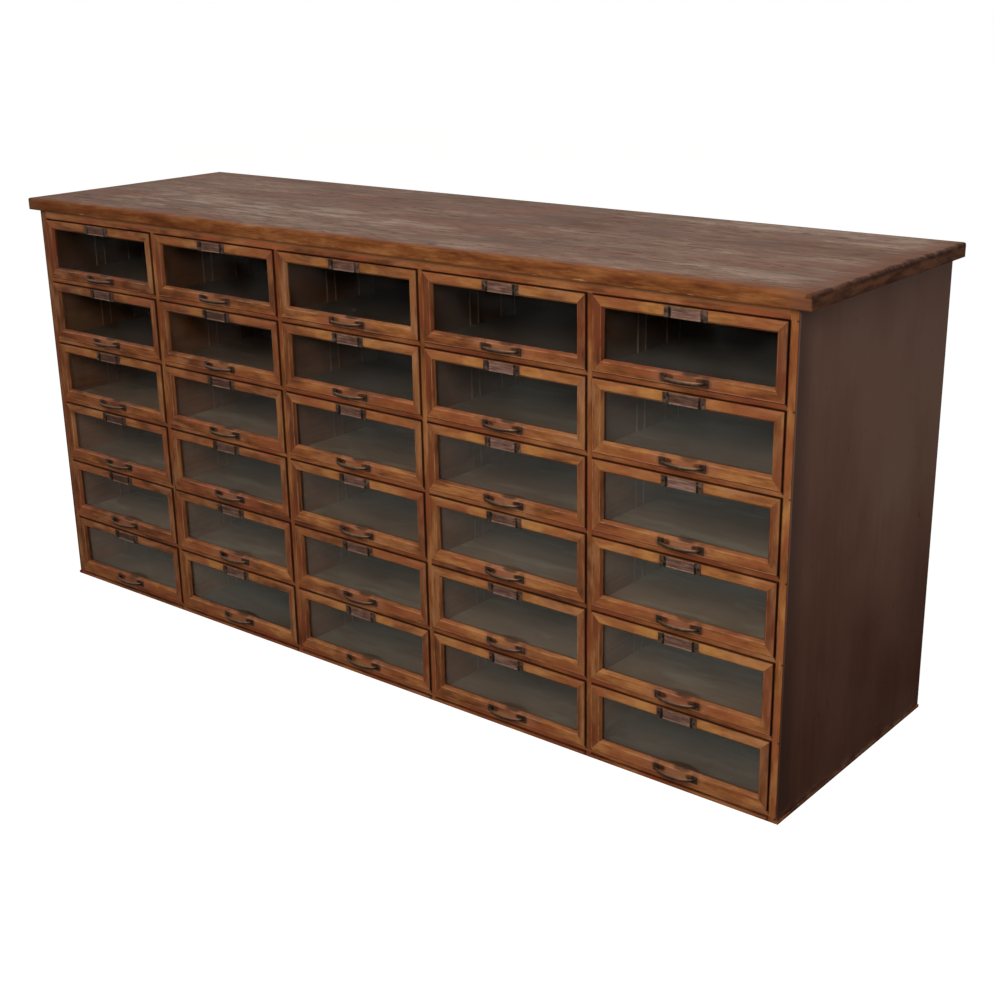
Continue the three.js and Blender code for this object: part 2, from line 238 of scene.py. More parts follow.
def add_floor():
    mesh = bpy.data.meshes.new("floor")
    corners = [(x * FLOOR_REACH, y * FLOOR_REACH, 0) for x, y in ((-1, -1), (1, -1), (1, 1), (-1, 1))]
    mesh.from_pydata(corners, [], [(0, 1, 2, 3)])
    mesh.materials.append(floor_finish())
    floor = bpy.data.objects.new("floor", mesh)
    link(floor)


# Materials


def srgb(red, green, blue):
    """A colour as it looks on screen, 0 to 255, in the linear form that nodes take."""

    def linear(value):
        share = value / 255
        return share / 12.92 if share <= 0.04045 else ((share + 0.055) / 1.055) ** 2.4

    return (linear(red), linear(green), linear(blue), 1)


class Nodes:
    """A node tree, put together by calls. add returns the new node, and the others its output."""

    def __init__(self, tree):
        self.tree = tree
        tree.nodes.clear()
        self.coordinates = self.add("TexCoord").outputs["Object"]

    def add(self, kind, inputs=(), **settings):
        node = self.tree.nodes.new("ShaderNode" + kind)
        for key, value in settings.items():
            setattr(node, key, value)
        for key, value in dict(inputs).items():
            socket = node.inputs[key]
            if isinstance(value, bpy.types.NodeSocket):
                self.tree.links.new(value, socket)
            else:
                socket.default_value = value
        return node

    def output(self, kind, inputs, **settings):
        return self.add(kind, inputs, **settings).outputs[0]

    def seen_by(self, *rays):
        """1 for rays of these kinds, 0 for the rest."""
        path = self.add("LightPath")
        return self.greatest(*(path.outputs[ray] for ray in rays))

    def position(self):
        """The surface's x, y and z."""
        return self.add("SeparateXYZ", {0: self.coordinates}).outputs

    def distance(self, place, stretch=(1, 1, 1)):
        """How far the surface is from a place, with each axis times its stretch."""
        away = self.output("VectorMath", {0: self.coordinates, 1: place}, operation="SUBTRACT")
        away = self.output("VectorMath", {0: away, 1: stretch}, operation="MULTIPLY")
        return self.add("VectorMath", {0: away}, operation="LENGTH").outputs["Value"]

    def noise(self, scale, shift=(0, 0, 0), detail=4, roughness=0.55, distortion=0.0):
        """Cloudy noise from 0 to 1, with a scale of its own along each axis."""
        place = self.output("Mapping", {"Vector": self.coordinates, "Scale": scale, "Location": shift})
        settings = {"Detail": detail, "Roughness": roughness, "Distortion": distortion}
        return self.output("TexNoise", {"Vector": place, "Scale": 1, **settings})

    def span(self, value, low, high, to_low=0.0, to_high=1.0):
        """A smooth step from to_low, where the value is low or less, to to_high."""
        inputs = {0: value, 1: low, 2: high, 3: to_low, 4: to_high}
        return self.output("MapRange", inputs, interpolation_type="SMOOTHSTEP")

    def math(self, operation, first, second=0.0, clamp=False):
        return self.output("Math", {0: first, 1: second}, operation=operation, use_clamp=clamp)

    def folded(self, operation, first, *others):
        for other in others:
            first = self.math(operation, first, other)
        return first

    def times(self, *values):
        return self.folded("MULTIPLY", *values)

    def plus(self, *values):
        return self.folded("ADD", *values)

    def minus(self, first, second):
        return self.math("SUBTRACT", first, second)

    def greatest(self, *values):
        return self.folded("MAXIMUM", *values)

    def blend(self, *terms):
        """The sum of some values, each times its weight."""
        return self.plus(*(self.times(value, weight) for value, weight in terms))

    def attribute(self, name):
        return self.add("Attribute", attribute_name=name).outputs["Fac"]

    def mix(self, share, first, second):
        return self.add("Mix", {0: share, 6: first, 7: second}, data_type="RGBA").outputs[2]

    def ramp(self, value, *stops):
        node = self.add("ValToRGB", {0: value})
        band = node.color_ramp
        while len(band.elements) < len(stops):
            band.elements.new(1)
        for element, (place, colour) in zip(band.elements, stops):
            element.position = place
            element.color = colour
        return node.outputs[0]

    def bump(self, height, distance, strength):
        return self.output("Bump", {"Height": height, "Distance": distance, "Strength": strength})


class Finish(Nodes):
    """A node material. surface and close end it, and return it."""

    def __init__(self, name):
        self.material = bpy.data.materials.new(name)
        self.material.use_nodes = True
        super().__init__(self.material.node_tree)

    def surface(self, colour, roughness, normal, specular=0.5, metallic=0.0):
        inputs = {
            "Base Color": colour,
            "Roughness": roughness,
            "Normal": normal,
            "Specular IOR Level": specular,
            "Metallic": metallic,
        }
        return self.close(self.output("BsdfPrincipled", inputs))

    def close(self, shader):
        self.add("OutputMaterial", {"Surface": shader})
        return self.material


def floor_finish():
    """A floor that is white to the camera apart from the shadow, and to mirrors a fading patch that
    glows, a painted reflection.
    """
    paint = Finish("floor_paint")
    x, y, _ = paint.position()
    outward = paint.math("DIVIDE", paint.distance(PATCH_MIDDLE), PATCH_REACH)
    patch = paint.ramp(outward, *PATCH_TONES)
    uneven = paint.span(paint.noise((1.1, 3.2, 1), detail=3), 0.3, 0.7, 0.72, 1.25)
    to_right = paint.span(x, -PATCH_SPREAD, PATCH_SPREAD, 0.18, 1.6)
    in_front = paint.span(y, FACE_Y - 0.12, FACE_Y + 0.05, 1, 0.12)
    seen = paint.seen_by("Is Camera Ray")
    mirrored = paint.seen_by("Is Glossy Ray", "Is Transmission Ray")
    body = paint.output("BsdfDiffuse", {"Color": paint.mix(seen, FLOOR_SHADE, FLOOR_SHADE_SEEN)})
    glow = paint.output("Emission", {"Color": WHITE, "Strength": paint.times(seen, FLOOR_GLOW)})
    lit = paint.output("AddShader", {0: body, 1: glow})
    strength = paint.times(uneven, to_right, in_front)
    # To mirrors and glass the patch glows by itself: a painted reflection that the lamps do not light
    mirrored_glow = paint.output("Emission", {"Color": patch, "Strength": strength})
    return paint.close(paint.output("MixShader", {0: mirrored, 1: lit, 2: mirrored_glow}))


def grain_scale(grain, along, across):
    """Scales that draw a pattern out along the grain's axis."""
    return tuple(along if axis == grain else across for axis in "xyz")


def oak(name, grain, tones, dress=None):
    """Stained oak: soft blotches of tone and hue along the grain, fibres, pores, worn edges with painted
    highlights, and painted shade.

    tones are a dark, a middle, a light and a reddish one. dress changes the colour by where the surface
    is, as handled_and_shaded_rail and shadowed_seam do.
    """
    dark, middle, light, red = (srgb(*tone) for tone in tones)
    wood = Finish(name)
    wear_and_painted_light = wood.attribute("wear_and_painted_light")
    patch = wood.noise(grain_scale(grain, 11, 40), roughness=0.62)
    hue = wood.noise(grain_scale(grain, 8, 30), (7.3, 1.9, 4.1), 3)
    streak = wood.noise(grain_scale(grain, 13, 240), detail=3, roughness=0.6, distortion=0.5)
    fine = wood.noise(grain_scale(grain, 60, 1300), detail=2)
    worn = wood.noise(grain_scale(grain, 22, 60), (1.3, 8.2, 5.5))
    blend = wood.blend((patch, 0.74), (streak, 0.26), (wood.attribute("tone"), 0.06))
    colour = wood.ramp(blend, (0.36, dark), (0.49, middle), (0.64, light))
    colour = wood.mix(wood.span(hue, 0.47, 0.61, 0, 0.65), colour, red)
    colour = wood.mix(wood.span(hue, 0.43, 0.32, 0, 0.4), colour, srgb(150, 104, 72))
    if dress:
        colour = dress(wood, colour, worn)
    pore = wood.span(fine, 0.38, 0.5, 1, 0)
    colour = wood.mix(wood.times(pore, 0.2), colour, dark)
    # Lighter where worn, and where a painted highlight is marked on arrises that face the light
    rubbed_and_lit = wood.times(wear_and_painted_light, wood.span(worn, 0.42, 0.58, 0.15, 1))
    colour = wood.mix(wood.math("MULTIPLY", rubbed_and_lit, 0.7, True), colour, srgb(172, 122, 90))
    # Below 0 the attribute gives painted shade: the front's sides, and arrises and bevels that face away
    # from the light
    painted_shade = wood.math("MULTIPLY", wear_and_painted_light, -0.9, True)
    colour = wood.mix(painted_shade, colour, srgb(34, 14, 6))
    rough = wood.span(streak, 0.25, 0.75, 0.52, 0.38)
    normal = wood.bump(wood.blend((streak, 0.4), (pore, -0.6)), 0.3 * MM, 0.4)
    return wood.surface(colour, rough, normal, 0.12)


# How far under a front its row's share of the height begins, and how far the top one stops short
PITCH_START = 5 * MM
PITCH_END_GAP = 1 * MM


def drawer_place(wood):
    """How far right of the nearest front's middle and above its lower edge the surface is."""
    x, _, z = wood.position()
    first, last = Drawer(ROWS, 1), Drawer(1, COLUMNS)
    across = (last.x - first.x) / (COLUMNS - 1)
    upward = (last.z0 - first.z0) / (ROWS - 1)
    start = first.z0 - PITCH_START
    x = wood.math("FLOORED_MODULO", wood.minus(x, first.x - across / 2), across)
    z = wood.math("MINIMUM", z, start + ROWS * upward - PITCH_END_GAP)
    z = wood.math("FLOORED_MODULO", wood.minus(z, start), upward)
    return wood.minus(x, across / 2), wood.minus(z, PITCH_START)


# Marks on a front: how far to each side of its middle they lie, then half their length and height
GOLDEN_SPOT = (66 * MM, 28 * MM, 14 * MM)
PALE_BAND = (0, 75 * MM, 18 * MM)
THUMB_SMUDGE = (10 * MM, 19 * MM, 6 * MM)
FOOT_SMUDGE = (40 * MM, 12 * MM, 12 * MM)
# The mark behind the bow by each foot is a painted shadow
BOW_SHADOW = (29 * MM, 9 * MM, 6 * MM)


def oval(wood, place, mark, height, hand=1):
    """1 in the middle of a mark at this height and 0 outside it, to the left where hand is -1."""
    side, *reach = mark
    terms = []
    for value, middle, half in zip(place, (hand * side, height), reach):
        term = wood.math("DIVIDE", wood.minus(value, middle), half)
        terms.append(wood.times(term, term))
    return wood.span(wood.plus(*terms), 0.2, 1.3, 1, 0)


def handled_and_shaded_rail(wood, colour, worn):
    """A front's rails: golden here and there by the card holder, smudged round the pull, with a painted
    bow shadow.
    """
    place = drawer_place(wood)
    upper, lower = FRONT_HEIGHT - TOP_RAIL_WIDTH / 2, BOTTOM_RAIL_WIDTH / 2
    each = wood.noise((2.3, 2.3, 6.1), (4.4, 0, 1.2), detail=1)
    golden = wood.span(place[1], FRONT_HEIGHT - 40 * MM, FRONT_HEIGHT - 20 * MM, 0, 0.08)
    thumb = oval(wood, place, THUMB_SMUDGE, BOTTOM_RAIL_WIDTH)
    smudges_and_shadows = [thumb]
    for hand in HANDS:
        spot = oval(wood, place, GOLDEN_SPOT, upper, hand)
        golden = wood.greatest(golden, wood.times(spot, 0.6))
        smudges_and_shadows.append(wood.times(oval(wood, place, FOOT_SMUDGE, lower, hand), 0.6))
        # Painted shadow of the bow on the rail, beside each foot
        smudges_and_shadows.append(oval(wood, place, BOW_SHADOW, lower + 1 * MM, hand))
    golden = wood.times(
        golden,
        wood.span(worn, 0.36, 0.6, 0.4, 1),
        wood.span(each, 0.4, 0.6, 0.25, 1),
        wood.span(wood.attribute("tone"), -1.2, 0, 0.3, 1),
    )
    colour = wood.mix(golden, colour, srgb(176, 122, 58))
    pale = oval(wood, place, PALE_BAND, BOTTOM_RAIL_WIDTH * 0.6)
    pale = wood.times(pale, wood.span(worn, 0.4, 0.6, 0.15, 0.6))
    colour = wood.mix(pale, colour, srgb(140, 88, 66))
    # Smudges round the pull, with the bow's painted shadow
    smudge_and_shadow = wood.times(wood.greatest(*smudges_and_shadows), wood.span(worn, 0.36, 0.6, 0.6, 0.95))
    return wood.mix(smudge_and_shadow, colour, srgb(38, 20, 12))


# The painted shade round a drawer front, where shadow falls in the gaps: how far past an edge it starts
# to fade, and how far past it is gone
SHADE_OVER = (2 * MM, 4 * MM)
SHADE_BESIDE = (2.4 * MM, 4.6 * MM)
SHADE_AT_CORNER = (1 * MM, 3 * MM)
SHADE_LAP = 1 * MM


def fading(wood, value, edge, fade):
    """1 as far as an edge and a little past it, then 0. fade is one of the pairs above."""
    return wood.span(value, edge + fade[0], edge + fade[1], 1, 0)


def shadowed_seam(wood, colour, worn):
    """The carcass's edges: painted shade in the gaps where they meet the top and the right side of a
    drawer front.
    """
    x, z = drawer_place(wood)
    edge = Drawer(ROWS, 1).half
    over = wood.times(
        fading(wood, z, FRONT_HEIGHT, SHADE_OVER),
        wood.span(z, FRONT_HEIGHT - SHADE_LAP, FRONT_HEIGHT),
        fading(wood, wood.math("ABSOLUTE", x), edge, SHADE_AT_CORNER),
    )
    beside = wood.times(
        fading(wood, x, edge, SHADE_BESIDE),
        wood.span(x, edge - SHADE_LAP, edge),
        fading(wood, z, FRONT_HEIGHT, SHADE_AT_CORNER),
    )
    # Painted shade in the gap over each front and beside its right side
    painted_shade = wood.times(wood.greatest(over, beside), wood.span(worn, 0.4, 0.6, 0.7, 0.95))
    return wood.mix(painted_shade, colour, srgb(34, 13, 6))


def lightened_top_rail(wood, colour, worn):
    """The top rail: paler under the top's overhang, painted light against the shade there, with the
    painted seam shade.
    """
    _, _, z = wood.position()
    # Painted light: paler just under the top's overhang, where shade falls
    painted_light_under_top = wood.span(z, CARCASS_TOP - 13 * MM, CARCASS_TOP - 6 * MM, 0, 0.5)
    colour = wood.mix(painted_light_under_top, colour, srgb(172, 114, 70))
    return shadowed_seam(wood, colour, worn)


# Knots in the top: x and y, and the reach. They are drawn out along the grain.
KNOTS = (
    ((-0.87, -0.203), 20 * MM),
    ((0.31, 0.19), 14 * MM),
    ((0.02, 0.03), 10 * MM),
)
KNOT_STRETCH = (0.45, 1, 1)
KNOT_RINGS = 2200


def top_patterns(wood):
    """The noises that the worn top's colours share, and its open pores and gashes."""
    cloud = wood.noise((2.4, 7, 7), roughness=0.6)
    patch = wood.noise((7, 26, 26), (3.1, 1.7, 0), roughness=0.62)
    pore = wood.span(wood.noise(grain_scale("x", 40, 560), detail=2), 0.36, 0.46, 1, 0)
    dash = wood.noise(grain_scale("x", 26, 150), (2, 2, 2), detail=2)
    return SimpleNamespace(
        cloud=cloud,
        patch=patch,
        band=wood.noise((9, 74, 74), (8.4, 0.3, 0), roughness=0.62, distortion=0.6),
        streak=wood.noise(grain_scale("x", 16, 150), roughness=0.65, distortion=0.8),
        pore=wood.times(pore, wood.span(cloud, 0.4, 0.6, 0.25, 0.55)),
        gash=wood.times(wood.span(dash, 0.57, 0.64), wood.span(patch, 0.4, 0.52)),
    )


def scrubbed_face(wood, pattern):
    """The top's upper face: grey-brown, with rusty clouds, open pores, gashes, scuffs and knots."""
    x, y, _ = wood.position()
    cloud, tone = pattern.cloud, wood.attribute("tone")
    slow = (cloud, 0.34), (pattern.patch, 0.3), (pattern.band, 0.22)
    colour = wood.ramp(
        wood.blend(*slow, (pattern.streak, 0.14), (tone, 0.01)),
        (0.4, srgb(76, 54, 44)),
        (0.47, srgb(95, 71, 58)),
        (0.53, srgb(112, 87, 73)),
        (0.6, srgb(140, 118, 103)),
    )
    rusty = wood.noise((3, 13, 13), (9.1, 0, 2))
    colour = wood.mix(wood.span(rusty, 0.48, 0.62, 0, 0.55), colour, srgb(106, 72, 58))
    colour = wood.mix(pattern.pore, colour, srgb(68, 46, 36))
    colour = wood.mix(wood.times(pattern.gash, 0.65), colour, srgb(58, 38, 29))
    scuff = wood.times(
        wood.span(wood.noise(grain_scale("x", 9, 48), (5, 1, 8)), 0.47, 0.6),
        wood.span(cloud, 0.42, 0.56),
        wood.span(y, TOP_LOW.y + 0.03, TOP_LOW.y + 0.1),
        wood.span(y, TOP_LOW.y + 0.32, TOP_LOW.y + 0.2),
        wood.span(x, 0.5, -0.3, 0.3, 1),
    )
    colour = wood.mix(wood.times(scuff, 0.5), colour, srgb(152, 136, 122))
    for place, reach in KNOTS:
        length = wood.distance((*place, TOP_HIGH.z), KNOT_STRETCH)
        rings = wood.span(wood.math("SINE", wood.times(length, KNOT_RINGS)), -0.4, 0.6, 0.3, 1)
        knot = wood.times(wood.span(length, 0, reach, 1, 0), rings)
        colour = wood.mix(knot, colour, srgb(46, 28, 20))
    return colour


def brown_stain_and_shade(wood, pattern):
    """The stain on the top's front edge: brown, darker to the left as painted shade, and chipped along
    its foot.
    """
    x, _, z = wood.position()
    stain = wood.ramp(
        wood.blend((pattern.patch, 0.6), (pattern.streak, 0.4)),
        (0.38, srgb(80, 40, 18)),
        (0.5, srgb(108, 62, 31)),
        (0.62, srgb(134, 86, 48)),
    )
    # Painted shade: darker towards the left end
    stain = wood.mix(wood.span(x, -0.1, TOP_LOW.x, 0, 0.55), stain, srgb(84, 42, 18))
    chip = wood.span(wood.noise((26, 200, 200), (6, 4, 4), 3), 0.6, 0.66)
    at_foot = wood.span(z, TOP_LOW.z + 2 * MM, TOP_LOW.z + 9 * MM, 1, 0)
    return wood.mix(wood.times(chip, at_foot, 0.55), stain, srgb(176, 128, 86))


def worn_top_finish():
    """The counter's top: greyed, scrubbed oak, with its stain left on the front edge and the ends."""
    wood = Finish("worn_top_oak")
    x, y, z = wood.position()
    pattern = top_patterns(wood)
    patch, band, streak = pattern.patch, pattern.band, pattern.streak
    front, top, end = TOP_LOW.y, TOP_HIGH.z, TOP_HIGH.x
    uneven = wood.minus(patch, 0.5)
    ragged = wood.plus(wood.times(wood.minus(streak, 0.5), 16 * MM), wood.times(uneven, 70 * MM))
    edge = wood.minus(wood.plus(y, ragged), wood.span(x, 0.1, end, 0, 14 * MM))
    on_front = wood.span(edge, front + 1 * MM, front + 30 * MM, 1, 0)
    below = wood.span(z, top - 5 * MM, top - 2.5 * MM, 1, 0)
    stained = wood.greatest(on_front, below)
    colour = wood.mix(stained, scrubbed_face(wood, pattern), brown_stain_and_shade(wood, pattern))
    past_end = wood.minus(wood.math("ABSOLUTE", x), end)
    by_end = wood.span(wood.plus(past_end, ragged), -70 * MM, -5 * MM, 0, 0.75)
    colour = wood.mix(by_end, colour, srgb(96, 60, 42))
    end_grain = wood.ramp(
        wood.noise((40, 20, 90)),
        (0.36, srgb(58, 34, 23)),
        (0.5, srgb(80, 49, 34)),
        (0.64, srgb(102, 66, 46)),
    )
    colour = wood.mix(wood.span(past_end, -2.5 * MM, -0.5 * MM), colour, end_grain)
    dark_arris = wood.times(
        wood.span(wood.plus(past_end, wood.times(uneven, 40 * MM)), -9 * MM, -4 * MM),
        wood.span(z, top - 9 * MM, top - 5 * MM),
        wood.span(band, 0.4, 0.55, 0.9, 0.5),
    )
    colour = wood.mix(dark_arris, colour, srgb(40, 22, 14))
    rough = wood.span(patch, 0.35, 0.65, 0.56, 0.72)
    height = wood.minus(wood.times(streak, 0.6), wood.plus(pattern.pore, pattern.gash))
    return wood.surface(colour, rough, wood.bump(height, 0.5 * MM, 0.4), 0.04)


def side_finish():
    """The side panels: dark and satin, darker and redder towards the floor and by the stile, painted
    shade, with a few light scratches.
    """
    wood = Finish("side_stain")
    _, y, z = wood.position()
    cloud = wood.noise((4, 4, 2.2))
    fibre = wood.noise(grain_scale("z", 5, 90), roughness=0.6)
    # Lighter towards the top, darker and redder towards the floor: painted shade
    colour = wood.ramp(
        wood.plus(wood.blend((cloud, 0.5), (fibre, 0.1)), wood.span(z, 0, 0.7, 0.07, 0.35)),
        (0.32, srgb(70, 38, 26)),
        (0.5, srgb(93, 62, 48)),
        (0.66, srgb(110, 82, 69)),
    )
    # Painted shade along the front edge, by the stile
    painted_shade_by_stile = wood.span(y, FACE_Y, FACE_Y + 70 * MM, 0.55, 0)
    colour = wood.mix(painted_shade_by_stile, colour, srgb(30, 12, 6))
    scratches = wood.times(
        wood.span(wood.noise((7, 7, 460), (0, 0, 3), detail=1), 0.72, 0.75),
        wood.span(wood.noise((2, 2.4, 5), (4, 2, 0), detail=2), 0.56, 0.7),
        wood.span(z, 0.1, 0.5, 1, 0.3),
    )
    colour = wood.mix(wood.times(scratches, 0.5), colour, srgb(140, 102, 76))
    spots = wood.span(wood.noise((55, 55, 40), detail=2), 0.7, 0.76)
    colour = wood.mix(wood.times(spots, 0.4), colour, srgb(36, 20, 14))
    scuffs = wood.span(wood.noise((30, 30, 90), detail=2), 0.45, 0.65)
    at_foot = wood.span(z, 6 * MM, 22 * MM, 1, 0)
    colour = wood.mix(wood.times(at_foot, scuffs, 0.5), colour, srgb(126, 88, 60))
    rough = wood.span(cloud, 0.3, 0.7, 0.34, 0.48)
    return wood.surface(colour, rough, wood.bump(fibre, 0.2 * MM, 0.15), 0.12)


def lining_finish(name, dark, light, grain, dusty=0.1):
    """Bare inner wood. dusty is how much dust lies in drifts along its grain."""
    wood = Finish(name)
    slow = wood.noise((6, 6, 6))
    fibre = wood.noise(grain_scale(grain, 6, 190))
    colour = wood.ramp(wood.blend((slow, 0.7), (fibre, 0.3)), (0.35, dark), (0.68, light))
    dust = wood.noise(grain_scale(grain, 4.5, 15), (3, 1, 0), 3, 0.6)
    colour = wood.mix(wood.span(dust, 0.47, 0.64, 0, dusty), colour, srgb(168, 158, 138))
    # The tone darkens the wood; its setting by row is a painted shade inside the drawers
    shade = wood.span(wood.attribute("tone"), -1, 1, 0.95, 0)
    colour = wood.mix(shade, colour, srgb(28, 20, 14))
    rough = wood.span(slow, 0.3, 0.7, 0.7, 0.85)
    return wood.surface(colour, rough, wood.bump(fibre, 0.3 * MM, 0.4), 0.2)


def metal_finish(name, dark, bright, roughness):
    """Old brass or bronze: a brown patina worn through where fingers touch, with painted highlights on
    the bow and lower bar.
    """
    metal = Finish(name)
    cloud = metal.noise((90, 90, 90), roughness=0.6)
    speck = metal.noise((500, 500, 500), detail=2)
    # The attribute marks worn places and painted highlights
    touched_and_lit = metal.times(metal.attribute("wear_and_painted_light"), 0.75)
    rubbed_and_lit = metal.math("ADD", touched_and_lit, metal.span(cloud, 0.45, 0.75, 0, 0.35), True)
    colour = metal.mix(rubbed_and_lit, dark, bright)
    colour = metal.mix(metal.span(speck, 0.6, 0.72, 0, 0.6), colour, srgb(28, 24, 20))
    rough = metal.span(cloud, 0.3, 0.7, roughness - 0.08, roughness + 0.14)
    return metal.surface(colour, rough, metal.bump(speck, 0.12 * MM, 0.5), metallic=0.85)


def card_finish():
    """Old card: faded and faintly lined, a little different in each drawer and darker to the left, a
    painted shade.
    """
    card = Finish("faded_card")
    x, _, _ = card.position()
    cloud = card.noise((60, 60, 60))
    line = card.noise((26, 60, 420), detail=3)
    each = card.noise((5, 5, 9), detail=0)
    blend = card.blend((cloud, 0.25), (line, 0.5), (each, 0.25))
    # The shift by x darkens the cards to the left: painted shade
    colour = card.ramp(
        card.plus(blend, card.span(x, -0.9, 0.5, -0.1, 0)),
        (0.38, srgb(58, 38, 30)),
        (0.5, srgb(92, 64, 54)),
        (0.64, srgb(134, 104, 90)),
    )
    rough = card.span(cloud, 0.3, 0.7, 0.7, 0.9)
    return card.surface(colour, rough, card.bump(cloud, 0.1 * MM, 0.3), 0.1)


def glass_finish():
    """Old window glass: clear, glossy and filmed with dust. Lamps shine through it."""
    glass = Finish("old_glass")
    inputs = {
        "Base Color": (0.9, 0.89, 0.85, 1),
        "Roughness": 0.03,
        "IOR": 1.45,
        "Transmission Weight": glass.span(glass.noise((9, 9, 16)), 0.35, 0.7, 1, 0.995),
    }
    pane = glass.output("BsdfPrincipled", inputs)
    through = glass.output("BsdfTransparent", {"Color": (0.8, 0.78, 0.74, 1)})
    lighting = glass.seen_by("Is Shadow Ray", "Is Diffuse Ray")
    return glass.close(glass.output("MixShader", {0: lighting, 1: pane, 2: through}))


# Each oak's dark, middle, light and reddish tone
RAIL_TONES = ((82, 42, 19), (124, 72, 35), (156, 103, 56), (126, 65, 36))
# Stiles are darker than rails: painted shade for the sheen that rails catch along their grain
STILE_TONES = ((68, 34, 15), (104, 59, 29), (136, 89, 50), (103, 47, 23))
UPRIGHT_TONES = ((76, 38, 16), (115, 65, 30), (146, 95, 51), (112, 52, 25))
SHELF_TONES = ((76, 38, 18), (115, 63, 31), (143, 89, 49), (114, 53, 29))
# The top rail's tones are lighter: painted light that offsets the shade under the top
TOP_RAIL_TONES = ((92, 47, 23), (134, 78, 41), (158, 103, 61), (134, 66, 38))


def make_finishes():
    lining = srgb(94, 54, 30), srgb(140, 92, 58)
    bottom = srgb(126, 98, 76), srgb(158, 129, 106)
    pine = srgb(124, 95, 64), srgb(170, 138, 102)
    return {
        "rail": oak("rail_oak", "x", RAIL_TONES, handled_and_shaded_rail),
        "stile": oak("stile_oak", "z", STILE_TONES),
        "shelf": oak("shelf_oak", "x", SHELF_TONES, shadowed_seam),
        "upright": oak("upright_oak", "z", UPRIGHT_TONES, shadowed_seam),
        "right_stile": oak("right_stile_oak", "z", RAIL_TONES, shadowed_seam),
        "left_stile": oak("left_stile_oak", "z", STILE_TONES),
        "top_rail": oak("top_rail_oak", "x", TOP_RAIL_TONES, lightened_top_rail),
        "top": worn_top_finish(),
        "side": side_finish(),
        "back": lining_finish("back_pine", *pine, "z"),
        "lining": lining_finish("drawer_side_wood", *lining, "y"),
        "bottom": lining_finish("drawer_bottom_board", *bottom, "x", 0.6),
        "brass": metal_finish("aged_brass", srgb(36, 24, 16), srgb(122, 92, 70), 0.48),
        "bronze": metal_finish("dark_bronze", srgb(34, 24, 18), srgb(160, 126, 106), 0.44),
        "card": card_finish(),
        "glass": glass_finish(),
    }


# Mesh helpers

# Faces that meet at more than this stay sharp
SHARP_ANGLE = math.radians(32)
TOP_SHARP_ANGLE = math.radians(40)


class Shape:
    """Points and faces, gathered from the parts of one piece."""

    def __init__(self):
        self.points = []
        self.faces = []
        self.slots = []
        self.tone = []
        self.wear_and_painted_light = []

    def take(self, points, faces, slot=0, tone=0.0, wear_and_painted_light=0.0):
        """Adds a part. The last argument, rubbing with painted highlight and shade, is one number, or a
        list with one for each point.
        """
        start = len(self.points)
        self.points += [Vector(p) for p in points]
        self.faces += [tuple(start + i for i in face) for face in faces]
        self.slots += [slot] * len(faces)
        self.tone += [tone] * len(points)
        self.wear_and_painted_light += wear_and_painted_light if isinstance(wear_and_painted_light, list) else [wear_and_painted_light] * len(points)

    def piece(self, name, *materials, sharp=SHARP_ANGLE):
        mesh = bpy.data.meshes.new(name)
        mesh.from_pydata(self.points, [], self.faces)
        for material in materials:
            mesh.materials.append(material)
        mesh.polygons.foreach_set("material_index", self.slots)
        for key, numbers in (("tone", self.tone), ("wear_and_painted_light", self.wear_and_painted_light)):
            mesh.attributes.new(key, "FLOAT", "POINT").data.foreach_set("value", numbers)
        mesh.shade_smooth()
        mesh.set_sharp_from_angle(angle=sharp)
        mesh.update()
        piece = bpy.data.objects.new(name, mesh)
        link(piece)
        piece.modifiers.new("flat_faces", "WEIGHTED_NORMAL").keep_sharp = True
        return piece


def turned_over(faces):
    return [tuple(reversed(face)) for face in faces]


def prism_faces(count, rings):
    """Faces between rings of count points each, and over the first and the last ring."""
    faces = []
    for a in range(0, (rings - 1) * count, count):
        b = a + count
        for i in range(count):
            j = (i + 1) % count
            faces.append((a + i, a + j, b + j, b + i))
    faces.append(tuple(reversed(range(count))))
    faces.append(tuple((rings - 1) * count + i for i in range(count)))
    return faces


def eased(block, edges, width):
    """A bmesh's points and faces, once these edges are rounded by width. It frees the bmesh."""
    rounding = {"segments": 2, "profile": 0.5, "affect": "EDGES", "clamp_overlap": True}
    bmesh.ops.bevel(block, geom=edges, offset=width, **rounding)
    block.verts.index_update()
    points = [v.co.copy() for v in block.verts]
    faces = [[v.index for v in f.verts] for f in block.faces]
    block.free()
    return points, faces


def add_board(shape, low, high, arris, slot=0, tone=0.0, wear_and_painted_light=0.0):
    """A board between two corners, with its edges eased by arris, or less on a thin one."""
    block = bmesh.new()
    bmesh.ops.create_cube(block, size=1)
    size = Vector(high) - Vector(low)
    middle = (Vector(high) + Vector(low)) / 2
    for vertex in block.verts:
        vertex.co = Vector(vertex.co[i] * size[i] + middle[i] for i in range(3))
    points, faces = eased(block, list(block.edges), min(arris, min(size) * 0.3))
    shape.take(points, faces, slot, tone, wear_and_painted_light)


def add_disc(shape, centre, radius, height, slot=0, sides=14, outward=-1):
    """A round-headed pin, screw or nail that stands out along Y, towards -Y unless outward is 1."""
    rings = [(1.0, 0.0), (1.0, 0.35), (0.8, 0.75), (0.4, 0.97)]
    points = []
    for share, rise in rings:
        for i in range(sides):
            angle = 2 * math.pi * i / sides
            across, up = radius * share * math.cos(angle), radius * share * math.sin(angle)
            points.append(centre + Vector((across, outward * height * rise, up)))
    faces = prism_faces(sides, len(rings))
    shape.take(points, turned_over(faces) if outward > 0 else faces, slot)


def settle(piece, body, nodes):
    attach(piece, body)
    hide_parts(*nodes)


# Carcass

WELD_DISTANCE = 1e-6
FLAT_ANGLE = math.radians(1)
EDGE_ANGLE = math.radians(40)


